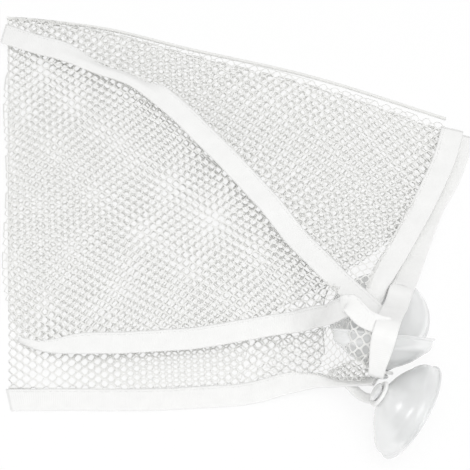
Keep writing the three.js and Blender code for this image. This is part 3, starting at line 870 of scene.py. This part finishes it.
def net_mesh(name, surface, plan_box, to_uv, turn=0.0, wave=None, pivot=None):
    """A net of staggered openings on a surface.

    Cell centres fill the plan box, turned about the pivot; those off the panel are left out.
    Ring points are shared by neighbours and stand YARN above and below the surface, opening
    points lie in it."""
    low, high = np.array(plan_box)
    pivot = (low + high) / 2 if pivot is None else np.array(pivot)
    reach = np.linalg.norm(high - low)
    columns, rows = int(reach / COLUMN), int(reach / ROW)
    i, k = np.meshgrid(np.arange(-columns, columns + 1), np.arange(-rows, rows + 1), indexing="ij")
    lattice = np.stack([i * COLUMN, (k + 0.5 * (i % 2)) * ROW], -1).reshape(-1, 2)
    c, s = np.cos(turn), np.sin(turn)
    spin = np.array([[c, s], [-s, c]])
    centres = lattice @ spin + pivot
    _, _, miss = to_uv(centres)
    kept = ((centres > low) & (centres < high)).all(1) & (miss < ON_PANEL)
    lattice = lattice[kept]
    opening = cell_ring() * HOLE_SHARE
    outer = (lattice[:, None] + cell_ring()).reshape(-1, 2)
    # Shared points have the same rounded place; the offset keeps them off the rounding steps.
    rounded = np.round(outer + 0.00123, 2)
    _, first, index = np.unique(rounded, axis=0, return_index=True, return_inverse=True)
    index = index.reshape(-1, RING)
    nxt = np.roll(np.arange(RING), -1)
    sides = np.stack([index, index[:, nxt]], -1).reshape(-1, 2)
    _, place, uses = np.unique(np.sort(sides, 1), axis=0, return_index=True, return_counts=True)
    border = sides[place[uses == 1]]

    u, v, _ = to_uv(outer[first] @ spin + pivot)
    strand = surface(u, v)
    up = normals(surface, u, v)
    hu, hv, _ = to_uv((lattice[:, None] + opening).reshape(-1, 2) @ spin + pivot)
    rims = surface(np.clip(hu, SELVEDGE, 1 - SELVEDGE), np.clip(hv, SELVEDGE, 1 - SELVEDGE))
    if wave is not None:
        strand = strand + wave(strand)
        rims = rims + wave(rims)
    points = np.vstack([strand + up * YARN, strand - up * YARN, rims])
    n = len(strand)
    hole = 2 * n + np.arange(len(rims)).reshape(-1, RING)
    top = np.stack([index, index[:, nxt], hole[:, nxt], hole], -1).reshape(-1, 4)
    bottom = np.stack([index[:, nxt] + n, index + n, hole, hole[:, nxt]], -1).reshape(-1, 4)
    edge = np.column_stack([border[:, ::-1], border + n])
    faces = np.vstack([top, bottom, edge])
    made = piece(name, points, faces, knitted_net)
    crease_edges(made.data, np.arange(len(points)) >= 2 * n)
    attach(made, "bag")
    flat_area = len(lattice) * COLUMN * ROW
    print(name, "cells:", len(lattice), "quads:", len(faces), "outline mm2:", round(flat_area))
    return made, flat_area


def flat_trace(surface):
    """Plan points are places on the table."""
    return lambda plan: trace(surface, plan)


def own_trace(width, height):
    """Plan points are places on the unrolled panel itself."""

    def to_uv(plan):
        uv = plan / [width, height]
        inside = np.clip(uv, 0, 1)
        return inside[:, 0], inside[:, 1], np.abs(uv - inside).max(1) * width

    return to_uv


def slack(scale, phase):
    """Slack cloth: a low swell of crossed sines, in millimetres, that never goes below the surface."""

    def wave(p):
        x, y = p[:, 0], p[:, 1]
        swell = np.sin(x / 13 + 0.7 * np.sin(y / 21 + phase)) * np.sin(y / 17 + phase) + 1
        return np.stack([np.zeros_like(x), np.zeros_like(x), scale * swell], -1)

    return wave


# %% The five nets
LEFT_FOOT = (-115.6, -88.0)  # where the two lower layers' openings lie on each other
LEAN = np.arctan(FOLD_LEAN / FOLD_RISE)  # of the left fold, which the rear panel's columns follow
UNDER_TURN, SIDE_TURN, FLAP_TURN = LEAN + 0.035, LEAN + 0.15, -0.3  # of the columns, radians
REAR_BOX = [(-130, -100), (125, 145)]  # plans that hold the panels
SIDE_BOX, FLAP_BOX = [(-130, -75), (60, 130)], [(-130, -45), (125, 145)]
CORNER_LENGTH, CORNER_GIRTH = 84, 38  # of the drawn-up corner, unrolled
SLACK = 0.35  # half height of the swell in the folded panels
under_net, under_area = net_mesh("under_net_panel", under_panel, REAR_BOX, flat_trace(under_panel),
                                 turn=UNDER_TURN, pivot=LEFT_FOOT)
back_net, back_area = net_mesh("back_net_panel", back_panel, REAR_BOX, flat_trace(back_panel),
                               turn=LEAN, pivot=LEFT_FOOT)
side_net, side_area = net_mesh("side_net_panel", side_panel, SIDE_BOX, flat_trace(side_panel),
                               turn=SIDE_TURN, wave=slack(SLACK, 0.5))
flap_net, flap_area = net_mesh("flap_net_panel", flap_panel, FLAP_BOX, flat_trace(flap_panel),
                               turn=FLAP_TURN, wave=slack(SLACK, 2.1))
corner_net, corner_area = net_mesh("corner_net_panel", corner_panel, [(0, 0), (CORNER_LENGTH, CORNER_GIRTH)],
                                   own_trace(CORNER_LENGTH, CORNER_GIRTH))
nets = {"under_net": under_net, "back_net": back_net, "side_net": side_net, "flap_net": flap_net,
        "corner_net": corner_net}
for node, made in nets.items():
    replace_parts(made, node)


# %% [markdown]
# ## The tuck beside the lower cup
#
# Below the strap some spare net is folded over and lies on the drawn-up corner, beside the
# lower cup. Bunched cloth would call for a simulation, but here only one fold and its doubled
# strands show. So it is a leaf-shaped surface that goes up along the corner's net and comes
# down again a little further out, and the net is laid on it as on the panels.

# %% The tuck beside the lower cup
TUCK_FROM, TUCK_SPAN = 0.655, 0.3  # the shares of the corner panel's length that it covers
TUCK_LOW, TUCK_TIP = 0.09, 0.03  # share of its height at the lower line, and its rise at the tip
TUCK_HIGH, TUCK_RISE = 0.26, 0.42  # the same at the upper line's start, and its rise from there
TUCK_OFF, TUCK_FOLD = 0.8, 0.9  # the back layer's height over the corner, and the front's over it


def tuck(s, r):
    """Spare net, folded over at its upper edge and laid on the drawn-up corner.

    s runs from its narrow tip to the strap, r up the back layer and down the front one. Its
    place on the corner panel is a leaf between two lines, and the front layer stands off more."""
    u = TUCK_FROM + TUCK_SPAN * s
    low = TUCK_LOW + TUCK_TIP * (1 - smooth(0, 0.3, s))
    high = TUCK_HIGH + TUCK_RISE * s
    v = low + (high - low) * np.sin(np.pi * np.clip(r, 0, 1))
    off = TUCK_OFF + TUCK_FOLD * smooth(0.4, 0.6, r)
    return corner_panel(u, v) + normals(corner_panel, u, v) * off[:, None]


def surface_area(surface, steps=60):
    """The area of a surface: the cross products of its small cells' sides, added up."""
    g = np.linspace(0, 1, steps + 1)
    u, v = np.meshgrid(g, g, indexing="ij")
    p = surface(u.ravel(), v.ravel()).reshape(steps + 1, steps + 1, 3)
    along, up = p[1:, :-1] - p[:-1, :-1], p[:-1, 1:] - p[:-1, :-1]
    return np.linalg.norm(np.cross(along, up), axis=-1).sum()


TUCK_LENGTH, TUCK_GIRTH = 27.0, 31.0  # of the net that is folded into it
tuck_net, _ = net_mesh("corner_net_tuck", tuck, [(0, 0), (TUCK_LENGTH, TUCK_GIRTH)],
                       own_trace(TUCK_LENGTH, TUCK_GIRTH))


# %% [markdown]
# ## The top fold's edge
#
# Where the net turns over along the top, its strands are pressed together and look like one
# smooth cord. Folding the cells themselves would need a far finer mesh, so a thin oval is
# carried along the fold.

# %% The top fold's edge
def folded_edge(name, line, wide, high, steps=260, sides=8):
    """Strands pressed together along a fold: an oval of half width wide and half height high."""
    t = np.linspace(0, 1, steps)
    at, _, side, up = tape_frame(line, t)
    angle = np.linspace(0, 2 * np.pi, sides, endpoint=False)
    points = (at[:, None] + side[:, None] * (wide * np.cos(angle))[None, :, None]
              + up[:, None] * (high * np.sin(angle))[None, :, None])
    quads = grid_quads(steps, sides, wrap=True)
    made = piece(name, points.reshape(-1, 3), quads, knitted_net)
    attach(made, "bag")
    return made


FOLD_HALF_WIDTH, FOLD_HALF_HEIGHT = 0.8, 1.1
fold_edge = folded_edge("top_fold_edge", top_fold((NET_UNDER + NET_OVER) / 2),
                        FOLD_HALF_WIDTH, FOLD_HALF_HEIGHT)
print("fold edge faces:", len(fold_edge.data.polygons))


# %% [markdown]
# ## The cuts
#
# Each panel was cut from flat net, and the model says how large the piece was and how it is
# held. The real cuts have slanted and curved edges, and the openings are knitted in, so the
# cloth's own area is that of its strands. Here only the area of the tuck's surface is worked
# out, and nothing uses it.


surface_area(tuck)


# %% [markdown]
# ## Buttonhole tabs
#
# A cup is held by a tab of doubled tape with a buttonhole that its knob is pushed through.
# The tab is a small disc; the middle one has a tongue that reaches up to the strap. A disc
# with a hole cut by a Boolean would have sharp edges. So it is a ring surface: its outline
# and the buttonhole are joined by rows of points that are rounded off towards both edges.

# %% The tabs
TAB_SIDES = 96
TONGUE_HALF = 0.6 * TAB_RADIUS  # half the tongue's width


def tongue_to(place, route, start):
    """The way and length of a tongue that rises in a tab's plane until it meets a tape."""
    t = np.linspace(start, 1, 600)
    share = t[np.abs((route(t) - place.neck) @ place.face).argmin()]
    at, _, _, up = (a[0] for a in tape_frame(route, [share]))
    way = at - place.neck
    way = way - place.face * (way @ place.face)
    along = unit(way)
    return along, np.linalg.norm(way) - (TAPE_THICK / 2 + TAB_THICK / 2 + FIT) / abs(along @ up)


def tab(name, place, way=None, reach=0.0):
    """A disc round the neck, stretched into a tongue where reach is longer than its radius.

    In polar form the outline is the larger of the disc and the tongue's straight sides; the
    section from buttonhole to outline is a flat oval."""
    way = place.up if way is None else way
    sideways = np.cross(way, place.face)
    angle = np.linspace(0, 2 * np.pi, TAB_SIDES, endpoint=False)
    x, y = np.cos(angle), np.sin(angle)
    tongue = np.minimum(TONGUE_HALF / np.maximum(np.abs(x), 1e-6), reach / np.maximum(y, 1e-6))
    outline = np.maximum(TAB_RADIUS, np.where(y > 0, tongue, 0))
    hole = NECK_RADIUS + FIT
    out = np.array([0, 0.04, 0.12, 0.5, 0.88, 0.96, 1.0])
    rise = np.array([0, 0.6, 0.92, 1, 0.92, 0.6])
    share = np.concatenate([out, out[-2:0:-1]])
    height = TAB_THICK / 2 * np.concatenate([rise, -rise])
    radius = hole + (outline[:, None] - hole) * share[None]
    flat_x, flat_y = radius * x[:, None], radius * y[:, None]
    points = (place.neck + flat_x[..., None] * sideways + flat_y[..., None] * way
              + height[None, :, None] * place.face)
    quads = grid_quads(TAB_SIDES + 1, len(share), wrap=True) % flat_x.size
    uv = np.stack([flat_x, flat_y], -1).reshape(-1, 2)
    made = piece(name, points.reshape(-1, 3), quads[:, ::-1], woven_tape, uv)
    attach(made, "bag")
    return made


strap_way, strap_reach = tongue_to(middle, rear_route, ridge_share)
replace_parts(tab("upper_buttonhole_tab", upper), "upper_tab")
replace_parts(tab("middle_buttonhole_tab", middle, strap_way, strap_reach), "middle_tab")
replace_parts(tab("lower_buttonhole_tab", lower), "lower_tab")
print("middle tongue reaches, mm:", round(float(strap_reach), 1))


# %% [markdown]
# ## Suction cups
#
# The cups are moulded from soft, milky PVC: a shallow bell with a thin flat rim, a neck and
# a mushroom head. They could be spun from a curve with a Screw modifier. They are turned
# shapes, so here a profile of radius and height is smoothed and carried round the axis, which
# leaves their places in the mesh. The vinyl lets some light through and is glossy, with a
# faint unevenness from moulding.

# %% Moulded PVC
# The haze of the milky vinyl drifts over some 14 mm. Mould marks are some 6 mm apart and a few
# hundredths of a millimetre deep, which is 0.3 mm at the bump's strength of 0.15.
HAZE, MOULD_MARKS, MOULD_DEPTH = 14, 6, 0.3
milky_vinyl, tree, shader = material_tree("moulded_soft_PVC")
place = add(tree, "ShaderNodeTexCoord").outputs["Object"]
haze = add(tree, "ShaderNodeTexNoise", None, Vector=place, Scale=1 / (HAZE * MM), Detail=2.0)
tone = add(tree, "ShaderNodeMix", {"data_type": "RGBA"}, Factor=haze.outputs["Fac"],
           _6=colour("#ECEDED"), _7=colour("#F4F5F5"))
swell = add(tree, "ShaderNodeTexNoise", None, Vector=place, Scale=1 / (MOULD_MARKS * MM), Detail=1.0)
bump = add(tree, "ShaderNodeBump", None, Height=swell.outputs["Fac"], Strength=0.15,
           Distance=MOULD_DEPTH * MM)
tree.links.new(tone.outputs[2], shader.inputs["Base Color"])
tree.links.new(bump.outputs["Normal"], shader.inputs["Normal"])
shader.inputs["Roughness"].default_value = 0.22
shader.inputs["IOR"].default_value = 1.53
shader.inputs["Transmission Weight"].default_value = 0.25
print("material:", milky_vinyl.name, "mould marks, mm:", MOULD_MARKS)


# %% The cup's profile
WALL = 2.4  # thickness of the bell
SEAL_WIDTH, SEAL_LIFT = 2.4, 0.05  # of the rim's sealing face, and the lift of its inner edge
HOLLOW = CUP_DEPTH * 0.8  # depth of the inside at the axis
NECK_ROOT = CUP_DEPTH + 0.6  # where the bell has run into the neck
NECK_END = CUP_DEPTH + NECK_LENGTH
LIP = np.array([  # the rim's bead and the step behind it, from the rim's radius
    [-1.2, 0.0], [-0.3, 0.1], [0.0, 0.5], [-0.1, 1.0], [-0.9, 1.35], [-1.25, 1.8], [-1.2, 3.0], [-1.4, 4.8],
])
PROFILE_STEPS = (30, 70, 26)  # points on the inside, the outside and the knob


def cup_profile():
    """Radius and height round the cup's wall: inside from the axis to the rim, then outside to
    the head. Each of the three runs is a smooth line through its points."""
    inner = np.column_stack([CUP_OUTSIDE[3:7, 0] * 0.97, CUP_OUTSIDE[3:7, 1] - WALL])[::-1]
    seal = [RIM_RADIUS - SEAL_WIDTH, SEAL_LIFT]
    root = [NECK_RADIUS, NECK_ROOT]
    inside = [[0, HOLLOW], *inner, seal]
    outside = [seal, *(LIP + [RIM_RADIUS, 0]), *CUP_OUTSIDE[2:7], [NECK_RADIUS * 1.5, CUP_DEPTH - 0.1], root]
    knob = [
        root, [NECK_RADIUS, NECK_END - 0.4], [HEAD_RADIUS - 0.6, NECK_END], [HEAD_RADIUS, NECK_END + 0.7],
        [HEAD_RADIUS, NECK_END + HEAD_LENGTH * 0.45],
        [HEAD_RADIUS * 0.72, NECK_END + HEAD_LENGTH * 0.85], [0, head_top],
    ]
    runs = []
    for corner_points, steps in zip((inside, outside, knob), PROFILE_STEPS):
        flat = np.column_stack([corner_points, np.zeros(len(corner_points))])
        runs.append(through(flat)(np.linspace(0, 1, steps))[:, :2])
    return np.vstack([runs[0][1:], runs[1][1:], runs[2][1:-1]])


print("cup profile points:", len(cup_profile()))


# %% The turned cups
CUP_SIDES = 120


def cup(name, place, body):
    """The profile carried round the axis, closed by a point at both ends of the axis."""
    profile = cup_profile()
    rows, sides = len(profile), CUP_SIDES
    angle = np.linspace(0, 2 * np.pi, sides, endpoint=False)
    ring = np.cos(angle)[:, None] * place.across + np.sin(angle)[:, None] * place.up
    radius, height = profile[:, None, :1], profile[:, None, 1:]
    points = (place.centre + radius * ring[None] - height * place.face).reshape(-1, 3)
    poles = [place.centre - place.face * HOLLOW, place.centre - place.face * head_top]
    quads = grid_quads(rows, sides, wrap=True)
    here = np.arange(sides)
    ahead, last_row = (here + 1) % sides, (rows - 1) * sides
    inner = np.stack([np.full(sides, rows * sides), ahead, here], -1)
    outer = np.stack([np.full(sides, rows * sides + 1), last_row + here, last_row + ahead], -1)
    faces = [face for block in (quads, inner, outer) for face in block[:, ::-1].tolist()]
    made = piece(name, np.vstack([points, poles]), faces, milky_vinyl)
    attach(made, body)
    return made


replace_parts(cup("upper_suction_cup", upper, "upper_cup"), "upper_cup")
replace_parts(cup("middle_suction_cup", middle, "middle_cup"), "middle_cup")
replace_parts(cup("lower_suction_cup", lower, "lower_cup"), "lower_cup")


# %% [markdown]
# ## Table, light and camera
#
# The product lies on white. The table is a large plane whose material shows nearly white to
# the camera and keeps a weak shadow; a plain white one would turn grey where the light falls
# off. A large soft lamp high on the viewer's side, a small weak one low on the left and the
# even light of the surroundings light it, at a level at which a colour renders about as it
# is written.

# %% Table
TABLE_REACH, TABLE_LEVEL = 4000.0, -0.05
WHITE_SHARE = 0.85  # of pure white in what the camera and reflections see of the table
white_table, tree, shader = material_tree("matt_white_table")
shader.inputs["Base Color"].default_value = colour("#FFFFFF")
shader.inputs["Roughness"].default_value = 0.9
shader.inputs["Specular IOR Level"].default_value = 0.0
ray = add(tree, "ShaderNodeLightPath")
seen = add(tree, "ShaderNodeMath", {"operation": "MAXIMUM"},
           _0=ray.outputs["Is Camera Ray"], _1=ray.outputs["Is Glossy Ray"])
seen = add(tree, "ShaderNodeMath", {"operation": "MAXIMUM"},
           _0=seen.outputs[0], _1=ray.outputs["Is Transmission Ray"])
share = add(tree, "ShaderNodeMath", {"operation": "MULTIPLY"}, _0=seen.outputs[0], _1=WHITE_SHARE)
glow = add(tree, "ShaderNodeEmission", None, Color=(1, 1, 1, 1), Strength=1.0)
mixed = add(tree, "ShaderNodeMixShader", None, _0=share.outputs[0],
            _1=shader.outputs["BSDF"], _2=glow.outputs["Emission"])
tree.links.new(mixed.outputs["Shader"], tree.nodes["Material Output"].inputs["Surface"])
square = np.array([[-1, -1, 0], [1, -1, 0], [1, 1, 0], [-1, 1, 0]])
table = piece("table", square * TABLE_REACH + [0, 0, TABLE_LEVEL], np.array([[0, 1, 2, 3]]), white_table)
print("table reaches, mm:", TABLE_REACH)

# %% Light
SURROUNDINGS = 0.66
LAMPS = {  # place and width in millimetres, and watts
    "window_light": ((-900, 280, 420), 200, 0.6),
    "ceiling_light": ((250, -480, 1300), 900, 7.8),
}
world = bpy.data.worlds.new("soft_surroundings")
bpy.context.scene.world = world
world.use_nodes = True
world.node_tree.nodes["Background"].inputs["Color"].default_value = (1, 1, 1, 1)
world.node_tree.nodes["Background"].inputs["Strength"].default_value = SURROUNDINGS


def soft_lamp(name, where, width, watts):
    """A square area lamp at a place in millimetres, turned to the origin."""
    data = bpy.data.lights.new(name, "AREA")
    data.size, data.energy = width * MM, watts
    lamp = bpy.data.objects.new(name, data)
    bpy.context.scene.collection.objects.link(lamp)
    lamp.location = where * MM
    lamp.rotation_euler = Vector(-where).to_track_quat("-Z", "Y").to_euler()


for lamp_name, (lamp_place, lamp_width, watts) in LAMPS.items():
    soft_lamp(lamp_name, np.array(lamp_place, float), lamp_width, watts)
print("surroundings:", SURROUNDINGS, "lamps, watts:", {n: lamp[2] for n, lamp in LAMPS.items()})

# %% Camera
LENS, SENSOR, DISTANCE, ELEVATION = 180.0, 36.0, 1237.0, np.radians(60)
lens = bpy.data.cameras.new("photo_camera")
lens.lens, lens.sensor_width, lens.sensor_fit = LENS, SENSOR, "HORIZONTAL"
lens.clip_start, lens.clip_end = 0.01, 50
camera = bpy.data.objects.new("photo_camera", lens)
bpy.context.scene.collection.objects.link(camera)
camera.location = (SHIFT + DISTANCE * np.array([0, -np.cos(ELEVATION), np.sin(ELEVATION)])) * MM
camera.rotation_euler = (np.pi / 2 - ELEVATION, 0, 0)
bpy.context.scene.camera = camera
bpy.context.scene.view_settings.view_transform = "Standard"
print("camera, metres:", np.round(camera.location, 3).tolist())
